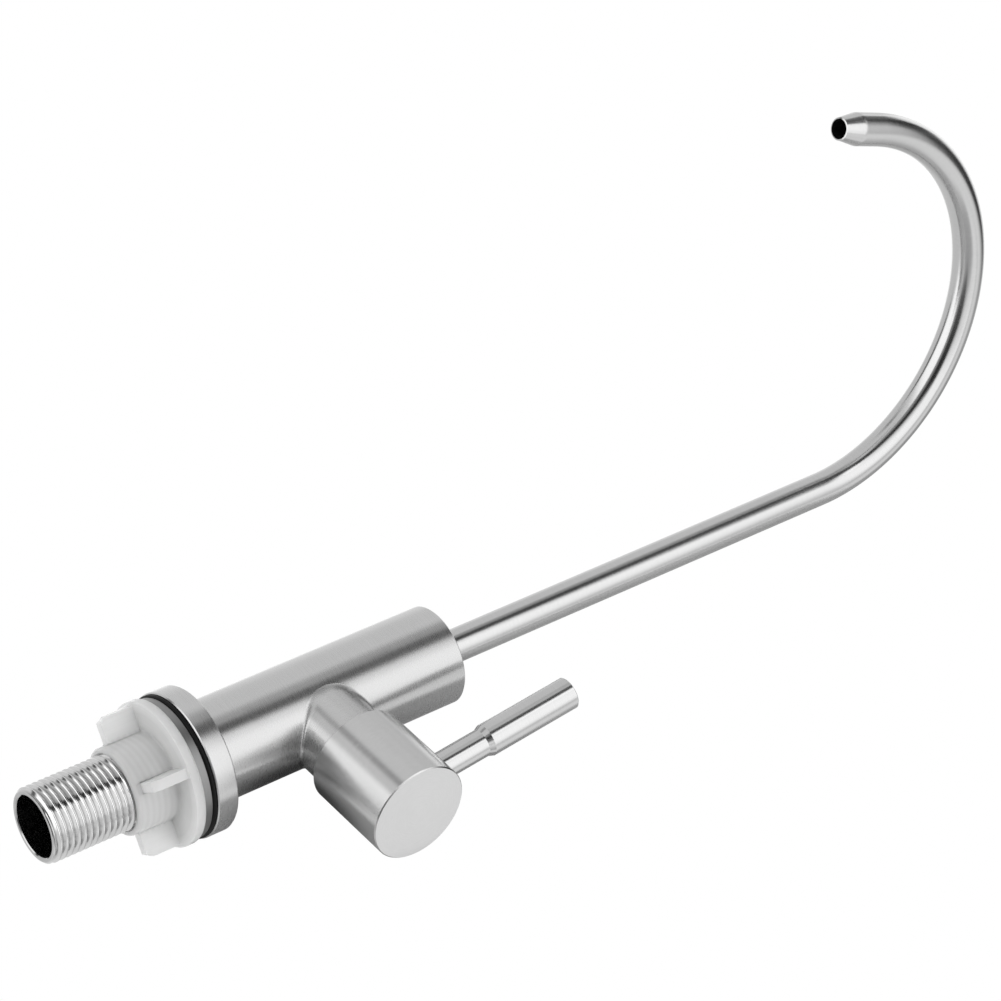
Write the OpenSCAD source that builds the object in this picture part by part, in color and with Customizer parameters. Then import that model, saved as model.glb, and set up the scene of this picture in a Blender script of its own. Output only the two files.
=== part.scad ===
// Drinking water filter tap: a tee body on a base flange, a swivelling gooseneck spout,
// a quarter-turn lever handle and a threaded shank with a wing nut under the worktop.
// Millimetres. The worktop is the plane z = 0, the spout points to -Y and the handle to +X.

/* [Body] */
// Diameter of the upright body
body_d = 28; // [25:0.5:34]
// Height of the body's top face above the worktop
body_top = 85.7; // [82:0.1:100]
// Height of the handle's axis above the worktop
handle_z = 43.45; // [41:0.05:46]
// Radius of the weld fillet above and below the side neck
weld_r = 0.9; // [0.7:0.1:2]
// Radius of the weld fillet at the neck's flanks, where it is ground smooth
weld_flank_r = 6; // [2:0.1:8]
// Break of the body's upper rim
rim_break = 0.3; // [0.1:0.1:0.8]

/* [Base flange] */
// Diameter of the base flange
flange_d = 40.6; // [39:0.2:48]
// Thickness of the flange's rim
flange_t = 6.2; // [5:0.1:9]
// Depth of the recess that the body stands in
flange_recess = 2; // [1:0.1:3]
// Break of the flange's edges
flange_break = 0.3; // [0.1:0.1:0.8]
// How far the rubber seal's edge stays inside the flange's edge
seal_inset = 0.3; // [0.1:0.1:1.2]
// Width of the rubber seal, from its inside to its outside
seal_w = 3; // [2:0.1:5]
// Thickness of the rubber seal when it is clamped
seal_t = 1.3; // [0.8:0.1:2]

/* [Shank] */
// Diameter of the shank over its thread
shank_d = 20.955; // [19.5:0.005:22]
// Diameter of the shank's water bore
shank_bore = 17.1; // [14:0.1:18]
// Length of the shank below the worktop's top
shank_drop = 41.6; // [38:0.1:70]
// Length of the shank that is screwed into the body
shank_engage = 12; // [9:0.5:13]
// Chamfer on the shank's ends
shank_chamfer = 0.75; // [0.3:0.05:0.8]
// Pitch of the shank's pipe thread
thread_pitch = 1.8143; // [1.3:0.0001:2.2]
// Height above the worktop where the bare thread ends inside the flange
thread_top = 1.5; // [0.5:0.1:4]
// Thickness of the gasket above the shank
gasket_t = 1.5; // [1:0.1:2]
// Width of the ledge that the gasket seals against
gasket_ledge = 0.9; // [0.6:0.1:1.4]

/* [Worktop fixings] */
// Diameter of the steel clamp washer
washer_d = 39; // [34:0.5:44]
// Thickness of the clamp washer
washer_t = 2.4; // [1.5:0.1:4]
// Diameter of the wing nut's flange
nut_flange_d = 40.4; // [36:0.2:46]
// Thickness of the wing nut's flange
nut_flange_t = 2.8; // [2:0.1:4]
// Rounding of the wing nut's flange
nut_flange_round = 1; // [0.4:0.1:1.2]
// Diameter of the wing nut's hub
nut_hub_d = 24.4; // [24:0.1:28]
// Length of the wing nut from its flange's face to its hub's end
nut_len = 15.3; // [13.5:0.1:17]
// Rounding of the hub's outer end
nut_hub_round = 1; // [0.4:0.1:1.2]
// Distance between the outer edges of two opposite wings
wing_span = 38.4; // [34:0.2:44]
// Length of the wings from the flange's face
wing_len = 12.9; // [10:0.1:13]
// Thickness of a wing
wing_t = 2.8; // [2:0.1:4]
// Number of wings
wing_count = 4; // [2:1:6]
// Turn of the first wing from +X
wing_turn = -37.5; // [-90:0.5:90]
// Width of the cut corner of a wing, across the axis
wing_corner_w = 1.2; // [0.5:0.1:2]
// Length of the cut corner of a wing, along the axis
wing_corner_h = 2; // [0.5:0.1:4]

/* [Side neck and handle] */
// Diameter of the side neck
neck_d = 23.6; // [22.5:0.1:24.6]
// Wall of the side neck
neck_wall = 2.2; // [1.6:0.1:2.6]
// Distance from the body's axis to the knob
knob_start = 22.3; // [21:0.1:30]
// How far the neck reaches into the knob's skirt
skirt_lap = 3.5; // [2:0.1:5]
// Diameter of the knob
knob_d = 28.2; // [27:0.1:34]
// Length of the knob
knob_len = 27.3; // [26:0.1:36]
// Break of the knob's edges
knob_break = 0.3; // [0.1:0.1:0.8]
// Room between the gland nut and the knob's inner face
knob_room = 1.5; // [0.8:0.1:3]
// Thickness of the knob's closed end
knob_face = 4; // [2.5:0.1:5]
// Distance of the lever's axis from the knob's end face
lever_inset = 9.67; // [8.5:0.01:12]
// Turn of the lever from upright towards the spout, 0 is closed and 90 is open
lever_turn = 8; // [0:0.5:90]
// Diameter of the lever's thin part
lever_thin_d = 7.7; // [6.5:0.1:9]
// Diameter of the lever's thick grip
lever_grip_d = 9.06; // [7.8:0.02:12]
// Distance from the knob's axis to the end of the thin part
lever_step = 27.7; // [18:0.1:34]
// Length of the taper between thin part and grip
lever_taper = 1.6; // [1:0.1:5]
// Distance from the knob's axis to the lever's end
lever_reach = 57; // [45:0.5:80]
// Break of the lever's end
lever_break = 0.3; // [0.1:0.1:0.8]
// Diameter of the lever's screwed end
lever_screw_d = 5; // [4:0.1:6]
// Depth of the flat seat for the lever below the top of the knob
lever_seat = 0.9; // [0.8:0.1:1.6]

/* [Valve cartridge] */
// Distance of the valve seat behind the body's axis
seat_offset = 3; // [2.4:0.1:3.4]
// Diameter of the inlet drillings
inlet_d = 4.6; // [3.5:0.1:5]
// Ledge between the inlet drilling and the inlet chamber's wall
inlet_ledge = 0.5; // [0.3:0.1:0.8]
// Diameter of the outlet drilling
outlet_d = 4.6; // [3:0.1:5]
// Wall between the inlet chamber and the cartridge bore
chamber_web = 5.5; // [3:0.1:7]
// Thickness of the rubber seal at the valve seat
valve_seal_t = 2.1; // [1.6:0.1:2.6]
// Width of the rubber seal at the valve seat
valve_seal_w = 1.3; // [0.8:0.1:1.6]
// How far that seal stands out of the cartridge
valve_seal_proud = 0.6; // [0.3:0.1:1]
// Wall of the cartridge housing
housing_wall = 1.85; // [1.6:0.05:2.1]
// Thickness of each ceramic disc
disc_t = 2.8; // [2.2:0.1:3.2]
// Angle of each water window in the discs
disc_window = 70; // [50:1:76]
// Inner radius of the disc windows
window_in_r = 2.2; // [1.8:0.1:2.8]
// Width of the disc windows
window_w = 3.4; // [2.4:0.1:3.6]
// Width of the ears that keep the fixed disc from turning
ear_w = 3; // [2:0.1:4]
// How far the ears reach into the housing
ear_reach = 0.9; // [0.5:0.1:1]
// Length of the mixing chamber behind the discs
mixing_len = 4; // [3.4:0.1:5]
// Diameter of the valve stem
stem_d = 8; // [7:0.1:8.4]
// Distance from the stem's axis to its flat
stem_flat = 3; // [2.6:0.1:3.2]
// Width of the stem's driving bar
bar_w = 4.4; // [3.4:0.1:5]
// Width of the tongue that turns the moving disc
tongue_w = 3; // [2:0.1:3.3]
// Depth of the tongue in the moving disc
tongue_h = 1.2; // [0.8:0.1:1.6]
// Free angle between the driving bar and each stop
stop_play = 1.5; // [1:0.1:3]
// Inner radius of the stops
stop_r = 5.8; // [5.6:0.1:6.4]
// Thickness of the thrust ring
thrust_t = 0.8; // [0.5:0.1:1.2]
// Outer diameter of the thrust ring
thrust_d = 11; // [10:0.1:11]
// Thickness of the stem's retaining clip
clip_t = 0.8; // [0.6:0.1:1.2]
// Outer diameter of the retaining clip
clip_d = 11.2; // [10:0.1:12]
// Depth of the clip's groove in the stem
clip_groove = 0.8; // [0.5:0.1:1]
// Opening of the clip
clip_gap = 60; // [40:1:90]
// Length of the gland nut inside the neck
gland_reach = 8; // [6:0.1:9]
// Thickness of the gland nut's hexagon
gland_head = 4.2; // [3:0.1:5]
// Bore of the gland nut
gland_bore = 14; // [13:0.1:15]

/* [Spout] */
// Diameter of the spout tube
tube_d = 9.48; // [8:0.02:12]
// Wall of the spout tube
tube_wall = 0.8; // [0.5:0.05:1]
// Height of the bend's start above the worktop
spout_rise = 226.2; // [150:0.1:260]
// Radius of the bend along the tube's middle
bend_r = 56.5; // [45:0.1:75]
// Angle of the bend
bend_sweep = 163; // [140:0.1:180]
// Straight length between the bend and the nozzle
spout_tail = 8.3; // [3:0.1:20]
// Length of the tapered nozzle
nozzle_len = 6.2; // [4:0.1:10]
// Diameter of the nozzle's tip
nozzle_d = 6.5; // [6:0.1:7.4]
// Diameter of the nozzle's hole
nozzle_bore = 5.7; // [4.5:0.1:5.8]
// Drawing-in of the tail's radius after the bend
tail_draw = 0.02; // [0.01:0.01:0.1]
// Turn of the spout from straight ahead
spout_turn = -7.36; // [-180:0.01:180]

/* [Spout swivel] */
// Diameter of the spout's socket in the body
socket_d = 18.5; // [17.5:0.1:20]
// Depth of the spout's socket
socket_depth = 24.7; // [21:0.1:27]
// Space for the water under the spout's sleeve
sleeve_lift = 1.5; // [1:0.1:3]
// Height of the tube's end above the sleeve's lower face
tube_seat = 3.5; // [2.5:0.1:5]
// Diameter of the sleeve's funnel at its lower face
funnel_d = 12; // [9:0.1:13]
// Height of the sleeve's funnel
funnel_h = 2; // [1:0.1:2.4]
// Distance of each sleeve O-ring from the sleeve's nearer end
sleeve_ring_inset = 3.5; // [2.6:0.1:4]
// Thickness of the glide ring over the sleeve
glide_t = 1.2; // [0.8:0.1:2]
// Thickness of the spout's gland
spout_gland_t = 5.4; // [4:0.1:7]
// Diameter of the spanner holes in the gland
spanner_hole_d = 2.2; // [1.6:0.1:2.4]
// Depth of the spanner holes
spanner_hole_h = 2.5; // [1.5:0.1:3.5]

/* [O-rings] */
// Section of the cartridge's O-ring
cartridge_ring_d = 2; // [1.6:0.1:2.2]
// Section of the stem's O-rings
stem_ring_d = 1.5; // [1.2:0.1:1.8]
// Section of the spout's O-rings
sleeve_ring_d = 1.8; // [1.4:0.1:2.2]
// Spare width of each O-ring groove
groove_spare = 0.4; // [0.2:0.1:0.6]

/* [Clearances] */
// Gap round a piece that is fixed in its seat
seat_gap = 0.1; // [0.05:0.01:0.15]
// Gap of a shaft that turns in its hole, and of an O-ring in its bore
turn_gap = 0.1; // [0.05:0.01:0.12]
// Gap between pieces that pass each other without touching
free_gap = 0.3; // [0.2:0.05:0.4]
// Overshoot of every cutting shape
cut = 1; // [0.5:0.1:1]

/* [Hidden] */
$fn = 96;
full_turn = 360;
handle_travel = 90;

// Radii of the outside pieces
body_r = body_d / 2;
flange_r = flange_d / 2;
shank_r = shank_d / 2;
neck_r = neck_d / 2;
knob_r = knob_d / 2;
tube_r = tube_d / 2;
tube_bore_r = tube_r - tube_wall;
lever_thin_r = lever_thin_d / 2;
lever_grip_r = lever_grip_d / 2;
lever_screw_r = lever_screw_d / 2;

// Heights from the worktop up
flange_top = seal_t + flange_t;
body_base = flange_top - flange_recess;
shank_top = body_base + shank_engage;
shank_socket_top = shank_top + gasket_t;
socket_floor = body_top - socket_depth;

// Pieces of the base
seal_r = flange_r - seal_inset;
seal_in_r = seal_r - seal_w;
spigot_r = seal_in_r - seat_gap;
recess_r = body_r + seat_gap;
shank_socket_r = shank_r + seat_gap;
flange_hole_r = shank_r + free_gap;
chamber_r = shank_r - gasket_ledge;

// Thread of the shank: its depth is a share of the pitch, and it starts two turns under the shank's end
thread_share = 0.64;
thread_depth = thread_share * thread_pitch;
thread_sides = 32;
thread_lead = 1.95;
thread_start = -shank_drop - thread_lead * thread_pitch;
thread_turns = ceil((thread_top - thread_start) / thread_pitch) + 2;

// Distances from the body's axis along the neck and the handle
neck_end = knob_start + skirt_lap;
knob_end = knob_start + knob_len;
lever_x = knob_end - lever_inset;
seat_x = -seat_offset;
valve_seal_x = seat_x + valve_seal_t;
fixed_disc_x = valve_seal_x + disc_t;
moving_disc_x = fixed_disc_x + disc_t;
mixing_x = moving_disc_x + mixing_len;
housing_x = seat_x + valve_seal_proud;
gland_x = neck_end - gland_reach;
gland_end = neck_end + gland_head;
knob_bore_x = gland_end + knob_room;
stem_end = knob_end - knob_face;
clip_x = gland_x + turn_gap;
outlet_x = (moving_disc_x + mixing_x) / 2;
inlet_r = inlet_d / 2;
outlet_r = outlet_d / 2;
inlet_x = inlet_r + inlet_ledge - chamber_r;
chamber_top = handle_z - neck_r + neck_wall - chamber_web;

// Radii of the cartridge's pieces
cartridge_bore_r = neck_r - neck_wall;
housing_r = cartridge_bore_r - seat_gap;
housing_bore_r = housing_r - housing_wall;
disc_r = housing_bore_r - seat_gap;
moving_disc_r = housing_bore_r - free_gap;
bar_r = moving_disc_r - free_gap;
stem_r = stem_d / 2;
stem_bore_r = stem_r + turn_gap;
clip_in_r = stem_r - clip_groove;
stop_half = handle_travel / 2 - asin(bar_w / 2 / stop_r) - stop_play;
stem_length = gland_x - mixing_x;
stem_ring_x = [mixing_x + stem_length / 3, gland_x - stem_length / 3];
cartridge_ring_x = (mixing_x + gland_x) / 2;
lever_seat_s = knob_r - lever_seat;

// Pieces of the spout's swivel
socket_r = socket_d / 2;
sleeve_r = socket_r - free_gap;
sleeve_base = socket_floor + sleeve_lift;
gland_base = body_top - spout_gland_t;
glide_base = gland_base - turn_gap - glide_t;
tube_base = sleeve_base + tube_seat;
sleeve_ring_z = [sleeve_base + sleeve_ring_inset, glide_base - sleeve_ring_inset];
spout_gland_bore_r = tube_r + turn_gap;
tail_lap = 0.3;

// Levels under the worktop
nut_top = -washer_t;
nut_flange_z = nut_top - nut_flange_t;
nut_end = nut_top - nut_len;
wing_end = nut_top - wing_len;
nut_flange_r = nut_flange_d / 2;
nut_hub_r = nut_hub_d / 2;
nut_bore_r = shank_r + free_gap;

// Fillet of the weld
weld_rings = 60;
weld_steps = 5;
weld_power = 6;
weld_sink = 0.08;
weld_root = weld_r / 2;
weld_root_share = (neck_r - weld_root) / neck_r;

// Points of an arc about a centre
arc_steps = 6;
function arc(centre, r, from, to) = [
    for (i = [0:arc_steps])
        let (a = from + (to - from) * i / arc_steps)
        centre + r * [cos(a), sin(a)]
];

// Middle radius of an O-ring that fills a bore, and the bottom of its groove
function ring_mid(bore_r, section) = bore_r - turn_gap - section / 2;
function groove_r(bore_r, section) = bore_r - 2 * turn_gap - section;

// Frame of the side neck: local z runs along +X, local -x points up
module on_handle_axis() {
    translate([0, 0, handle_z]) rotate([0, 90, 0]) children();
}

// Turns what the lever moves about the handle's axis
module at_lever_turn() {
    translate([0, 0, handle_z]) rotate([lever_turn, 0, 0]) translate([0, 0, -handle_z]) children();
}

// Turns what swivels with the spout
module at_spout_turn() {
    rotate([0, 0, spout_turn]) children();
}

// Plain ring between two levels
module ring(outer_r, inner_r, from, to) {
    difference() {
        translate([0, 0, from]) cylinder(r = outer_r, h = to - from);
        translate([0, 0, from - cut]) cylinder(r = inner_r, h = to - from + 2 * cut);
    }
}

// Rubber O-ring at a level
module o_ring(mid_r, section, level) {
    translate([0, 0, level]) rotate_extrude() translate([mid_r, 0]) circle(d = section);
}

// Groove for an O-ring, cut into a shaft
module o_ring_groove(outer_r, root_r, section, level) {
    width = section + groove_spare;
    ring(outer_r + cut, root_r, level - width / 2, level + width / 2);
}

// The two opposite water windows of a disc, about local x
module disc_windows(from, to) {
    for (side = [0, 180])
        rotate([0, 0, side - disc_window / 2])
            translate([0, 0, from])
                rotate_extrude(angle = disc_window)
                    translate([window_in_r, 0]) square([window_w, to - from]);
}

// Rolling-ball fillet along the seam where the neck meets the body; its ball grows towards the flanks
function weld_ball(a) = weld_r + (weld_flank_r - weld_r) * pow(cos(a), weld_power);

function weld_middle(a, ball) =
    let (y = (neck_r + ball) * cos(a), z = (neck_r + ball) * sin(a))
    [sqrt(pow(body_r + ball, 2) - y * y), y, z];

function weld_section(a) =
    let (
        ball = weld_ball(a),
        middle = weld_middle(a, ball),
        on_body = [middle.x, middle.y, 0] * body_r / (body_r + ball) + [0, 0, middle.z],
        on_neck = [0, middle.y, middle.z] * neck_r / (neck_r + ball) + [middle.x, 0, 0],
        to_body = (on_body - middle) / ball,
        to_neck = (on_neck - middle) / ball,
        seam_y = on_neck.y,
        seam = [sqrt(body_r * body_r - seam_y * seam_y), seam_y, on_neck.z],
        inside = [seam.x - weld_root, seam.y * weld_root_share, seam.z * weld_root_share]
    )
    [
        on_body + weld_sink * to_body,
        for (i = [1:weld_steps - 1])
            let (mixed = to_body * (weld_steps - i) + to_neck * i)
            middle + ball * mixed / norm(mixed),
        on_neck + weld_sink * to_neck,
        inside
    ];

module weld_fillet() {
    count = weld_steps + 2;
    points = [for (i = [0:weld_rings - 1]) each weld_section(full_turn * i / weld_rings)];
    faces = [
        for (i = [0:weld_rings - 1], j = [0:count - 1])
            let (
                here = i * count,
                next = ((i + 1) % weld_rings) * count,
                k = (j + 1) % count
            )
            each [[here + j, here + k, next + k], [here + j, next + k, next + j]]
    ];
    translate([0, 0, handle_z]) polyhedron(points, faces);
}

module tee_body() {
    color("silver") difference() {
        union() {
            rotate_extrude() polygon([
                [0, body_base], [body_r, body_base], [body_r, body_top - rim_break],
                [body_r - rim_break, body_top], [0, body_top]
            ]);
            on_handle_axis() cylinder(r = neck_r, h = neck_end);
            weld_fillet();
        }
        // Socket for the shank, then the inlet chamber above it
        translate([0, 0, body_base - cut])
            cylinder(r = shank_socket_r, h = shank_socket_top - body_base + cut);
        translate([0, 0, shank_socket_top - cut])
            cylinder(r = chamber_r, h = chamber_top - shank_socket_top + cut);
        // Inlet drillings to the valve seat
        translate([inlet_x, 0, chamber_top - cut])
            cylinder(r = inlet_r, h = handle_z + inlet_r - chamber_top + cut);
        on_handle_axis() translate([0, 0, inlet_x]) cylinder(r = inlet_r, h = seat_x - inlet_x + cut);
        // Bore for the cartridge
        on_handle_axis() translate([0, 0, seat_x]) cylinder(r = cartridge_bore_r, h = neck_end - seat_x + cut);
        // Outlet drilling and the socket for the spout
        translate([outlet_x, 0, handle_z]) cylinder(r = outlet_r, h = socket_floor - handle_z + cut);
        translate([0, 0, socket_floor]) cylinder(r = socket_r, h = socket_depth + cut);
    }
}

module base_flange() {
    color("silver") rotate_extrude() polygon([
        [flange_hole_r, 0], [spigot_r, 0], [spigot_r, seal_t],
        [flange_r - flange_break, seal_t], [flange_r, seal_t + flange_break],
        [flange_r, flange_top - flange_break], [flange_r - flange_break, flange_top],
        [recess_r, flange_top], [recess_r, body_base], [flange_hole_r, body_base]
    ]);
}

module flange_seal() {
    edge_r = seal_t / 2;
    color("black") rotate_extrude() polygon(concat(
        [[seal_in_r, seal_t], [seal_in_r, 0]],
        arc([seal_r - edge_r, edge_r], edge_r, -90, 90)
    ));
}

// Points of a helix that climbs one pitch a turn
function helix(r, from) = [
    for (i = [0:thread_sides * thread_turns])
        let (a = full_turn * i / thread_sides)
        [r * cos(a), r * sin(a), from + thread_pitch * i / thread_sides]
];

// Rod with a right-hand thread, from the helix of its crest and the helix of its root
module thread_rod() {
    crest = helix(shank_r, thread_start);
    root = helix(shank_r - thread_depth, thread_start + thread_pitch / 2);
    last = len(crest) - 1;
    foot = len(crest);
    below = 2 * len(crest);
    above = below + 1;
    last_turn = last - thread_sides;
    brink = foot + last_turn;
    middles = [[0, 0, crest[0].z - thread_pitch], [0, 0, root[last].z + thread_pitch]];
    faces = [
        // Flank from each crest up to the root over it
        for (i = [0:last - 1]) each [[i, foot + i, foot + i + 1], [i, foot + i + 1, i + 1]],
        // Flank from each root up to the crest of the next turn
        for (i = [0:last_turn - 1], next = [i + thread_sides])
            each [[foot + i, next, next + 1], [foot + i, next + 1, foot + i + 1]],
        // Ends
        for (i = [0:thread_sides - 1]) each [[i, i + 1, below], [brink + i + 1, brink + i, above]],
        [thread_sides, foot, below], [foot, 0, below],
        [brink, last, above], [last, foot + last, above]
    ];
    polyhedron(concat(crest, root, middles), faces);
}

module threaded_shank() {
    end_r = shank_r - shank_chamfer;
    threaded = shank_drop + thread_top;
    color("lightgray") difference() {
        union() {
            intersection() {
                thread_rod();
                translate([0, 0, -shank_drop]) cylinder(r1 = end_r, r2 = end_r + threaded, h = threaded);
            }
            rotate_extrude() polygon([
                [0, thread_top], [shank_r, thread_top], [shank_r, shank_top - shank_chamfer],
                [end_r, shank_top], [0, shank_top]
            ]);
        }
        translate([0, 0, -shank_drop - cut]) cylinder(d = shank_bore, h = shank_drop + shank_top + 2 * cut);
    }
}

module shank_gasket() {
    color("darkslategray") ring(shank_r, chamber_r - gasket_ledge, shank_top, shank_socket_top);
}

module valve_seal() {
    color("black") on_handle_axis() ring(disc_r, disc_r - valve_seal_w, seat_x, valve_seal_x);
}

module fixed_disc() {
    thickness = fixed_disc_x - valve_seal_x;
    ear_r = housing_bore_r + ear_reach;
    color("white") on_handle_axis() difference() {
        translate([0, 0, valve_seal_x]) {
            cylinder(r = disc_r, h = thickness);
            intersection() {
                cylinder(r = ear_r, h = thickness);
                translate([-ear_w / 2, -ear_r, 0]) cube([ear_w, 2 * ear_r, thickness]);
            }
        }
        disc_windows(valve_seal_x - cut, fixed_disc_x + cut);
    }
}

module cartridge_housing() {
    slot_w = ear_w + 2 * seat_gap;
    slot_r = housing_bore_r + ear_reach + seat_gap;
    color("goldenrod") on_handle_axis() {
        difference() {
            translate([0, 0, housing_x]) cylinder(r = housing_r, h = gland_x - housing_x);
            translate([0, 0, housing_x - cut]) cylinder(r = housing_bore_r, h = mixing_x - housing_x + cut);
            translate([0, 0, mixing_x - cut]) cylinder(r = stem_bore_r, h = gland_x - mixing_x + 2 * cut);
            // Slots for the fixed disc's ears
            translate([-slot_w / 2, -slot_r, housing_x - cut])
                cube([slot_w, 2 * slot_r, fixed_disc_x - housing_x + cut]);
            // Water windows above and below
            translate([-housing_r - cut, -outlet_r, moving_disc_x])
                cube([2 * housing_r + 2 * cut, outlet_d, mixing_len]);
            o_ring_groove(housing_r, groove_r(cartridge_bore_r, cartridge_ring_d),
                cartridge_ring_d, cartridge_ring_x);
        }
        // Stops for the stem's driving bar
        for (side = [135, 315])
            rotate([0, 0, side - stop_half])
                translate([0, 0, moving_disc_x + free_gap])
                    rotate_extrude(angle = 2 * stop_half)
                        translate([stop_r, 0])
                            square([housing_bore_r + housing_wall / 2 - stop_r, mixing_len - free_gap]);
    }
}

module cartridge_o_ring() {
    color("black") on_handle_axis()
        o_ring(ring_mid(cartridge_bore_r, cartridge_ring_d), cartridge_ring_d, cartridge_ring_x);
}

module gland_nut() {
    color("goldenrod") on_handle_axis() difference() {
        union() {
            translate([0, 0, gland_x]) cylinder(r = housing_r, h = gland_end - gland_x);
            translate([0, 0, neck_end]) cylinder(r = neck_r - free_gap, h = gland_head, $fn = 6);
        }
        translate([0, 0, gland_x - cut]) cylinder(d = gland_bore, h = gland_end - gland_x + 2 * cut);
    }
}

module spout_gland() {
    gland_r = socket_r - seat_gap;
    hole_ring_r = (gland_r + spout_gland_bore_r) / 2;
    color("silver") difference() {
        ring(gland_r, spout_gland_bore_r, gland_base, body_top);
        for (side = [-1, 1])
            translate([side * hole_ring_r, 0, body_top - spanner_hole_h])
                cylinder(d = spanner_hole_d, h = spanner_hole_h + cut);
    }
}

// Solid of one radius along the spout's riser, bend, tail and tapered nozzle
module spout_run(r, tip_r, from, over) {
    tail_r = r - tail_draw;
    tip_end = spout_tail + nozzle_len;
    translate([0, 0, from]) cylinder(r = r, h = spout_rise - from);
    translate([0, -bend_r, spout_rise]) rotate([90, 0, 90]) {
        rotate_extrude(angle = bend_sweep) translate([bend_r, 0]) circle(r = r);
        rotate([0, 0, bend_sweep]) translate([bend_r, 0, 0]) rotate([-90, 0, 0]) rotate_extrude() polygon(concat(
            [[0, -tail_lap], [tail_r, -tail_lap], [tail_r, spout_tail], [tip_r, tip_end]],
            over > 0 ? [[tip_r, tip_end + over]] : [],
            [[0, tip_end + over]]
        ));
    }
}

module spout_tube() {
    color("silver") at_spout_turn() difference() {
        spout_run(tube_r, nozzle_d / 2, tube_base, 0);
        spout_run(tube_bore_r, nozzle_bore / 2, tube_base - cut, cut);
    }
}

module spout_sleeve() {
    color("goldenrod") at_spout_turn() difference() {
        translate([0, 0, sleeve_base]) cylinder(r = sleeve_r, h = glide_base - sleeve_base);
        translate([0, 0, sleeve_base - cut]) cylinder(r = tube_bore_r, h = glide_base - sleeve_base + 2 * cut);
        translate([0, 0, tube_base]) cylinder(r = tube_r + seat_gap / 2, h = glide_base - tube_base + cut);
        translate([0, 0, sleeve_base]) cylinder(d1 = funnel_d, r2 = tube_bore_r, h = funnel_h);
        for (level = sleeve_ring_z)
            o_ring_groove(sleeve_r, groove_r(socket_r, sleeve_ring_d), sleeve_ring_d, level);
    }
}

module spout_o_ring_lower() {
    color("black") o_ring(ring_mid(socket_r, sleeve_ring_d), sleeve_ring_d, sleeve_ring_z[0]);
}

module spout_o_ring_upper() {
    color("black") o_ring(ring_mid(socket_r, sleeve_ring_d), sleeve_ring_d, sleeve_ring_z[1]);
}

module glide_ring() {
    color("ivory") ring(sleeve_r, tube_r + turn_gap, glide_base, glide_base + glide_t);
}

module handle_knob() {
    skirt_r = neck_r + free_gap;
    color("silver") at_lever_turn() difference() {
        on_handle_axis() rotate_extrude() polygon([
            [0, knob_start], [knob_r - knob_break, knob_start], [knob_r, knob_start + knob_break],
            [knob_r, knob_end - knob_break], [knob_r - knob_break, knob_end], [0, knob_end]
        ]);
        on_handle_axis() translate([0, 0, knob_start - cut])
            cylinder(r = skirt_r, h = knob_bore_x - knob_start + cut);
        // Hole for the stem with its flat
        on_handle_axis() difference() {
            translate([0, 0, knob_bore_x - cut])
                cylinder(r = stem_r + seat_gap / 2, h = stem_end - knob_bore_x + cut);
            translate([-stem_d - stem_flat - seat_gap / 2, -stem_d, knob_bore_x])
                cube([stem_d, 2 * stem_d, stem_end - knob_bore_x + cut]);
        }
        // Screw hole and flat seat for the lever
        translate([lever_x, 0, handle_z]) {
            translate([0, 0, stem_flat]) cylinder(r = lever_screw_r + seat_gap / 2, h = knob_r);
            translate([0, 0, lever_seat_s]) cylinder(r = lever_thin_r + seat_gap / 2, h = knob_r);
        }
    }
}

module lever_rod() {
    color("silver") at_lever_turn() translate([lever_x, 0, handle_z]) rotate_extrude() polygon([
        [0, stem_flat], [lever_screw_r, stem_flat], [lever_screw_r, lever_seat_s],
        [lever_thin_r, lever_seat_s], [lever_thin_r, lever_step],
        [lever_grip_r, lever_step + lever_taper], [lever_grip_r, lever_reach - lever_break],
        [lever_grip_r - lever_break, lever_reach], [0, lever_reach]
    ]);
}

module valve_stem() {
    bar_end = mixing_x - thrust_t;
    color("goldenrod") at_lever_turn() on_handle_axis() difference() {
        union() {
            translate([0, 0, moving_disc_x]) cylinder(r = stem_r, h = stem_end - moving_disc_x);
            // Driving bar with its tongue
            intersection() {
                translate([0, 0, moving_disc_x - tongue_h]) cylinder(r = bar_r, h = bar_end - moving_disc_x + tongue_h);
                union() {
                    translate([-bar_r, -bar_w / 2, moving_disc_x]) cube([2 * bar_r, bar_w, bar_end - moving_disc_x]);
                    translate([-bar_r, -tongue_w / 2, moving_disc_x - tongue_h])
                        cube([2 * bar_r, tongue_w, tongue_h + cut]);
                }
            }
        }
        for (level = stem_ring_x)
            o_ring_groove(stem_r, groove_r(stem_bore_r, stem_ring_d), stem_ring_d, level);
        ring(stem_r + cut, clip_in_r, clip_x, clip_x + clip_t);
        // Flat that the lever's screw bears on
        translate([-stem_d - stem_flat, -stem_d, knob_bore_x])
            cube([stem_d, 2 * stem_d, stem_end - knob_bore_x + cut]);
        // Water passes beside the bar
        for (side = [-1, 1])
            translate([-stem_d, side * (bar_w / 2 + stem_d / 2) - stem_d / 2, moving_disc_x - cut])
                cube([2 * stem_d, stem_d, bar_end - moving_disc_x + cut]);
    }
}

module moving_disc() {
    slot_w = tongue_w + 2 * seat_gap;
    color("white") at_lever_turn() on_handle_axis() difference() {
        translate([0, 0, fixed_disc_x]) cylinder(r = moving_disc_r, h = moving_disc_x - fixed_disc_x);
        rotate([0, 0, 90]) disc_windows(fixed_disc_x - cut, moving_disc_x + cut);
        translate([-moving_disc_r - cut, -slot_w / 2, moving_disc_x - tongue_h - seat_gap])
            cube([2 * moving_disc_r + 2 * cut, slot_w, tongue_h + seat_gap + cut]);
    }
}

module stem_o_ring_inner() {
    color("black") on_handle_axis() o_ring(ring_mid(stem_bore_r, stem_ring_d), stem_ring_d, stem_ring_x[0]);
}

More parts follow.
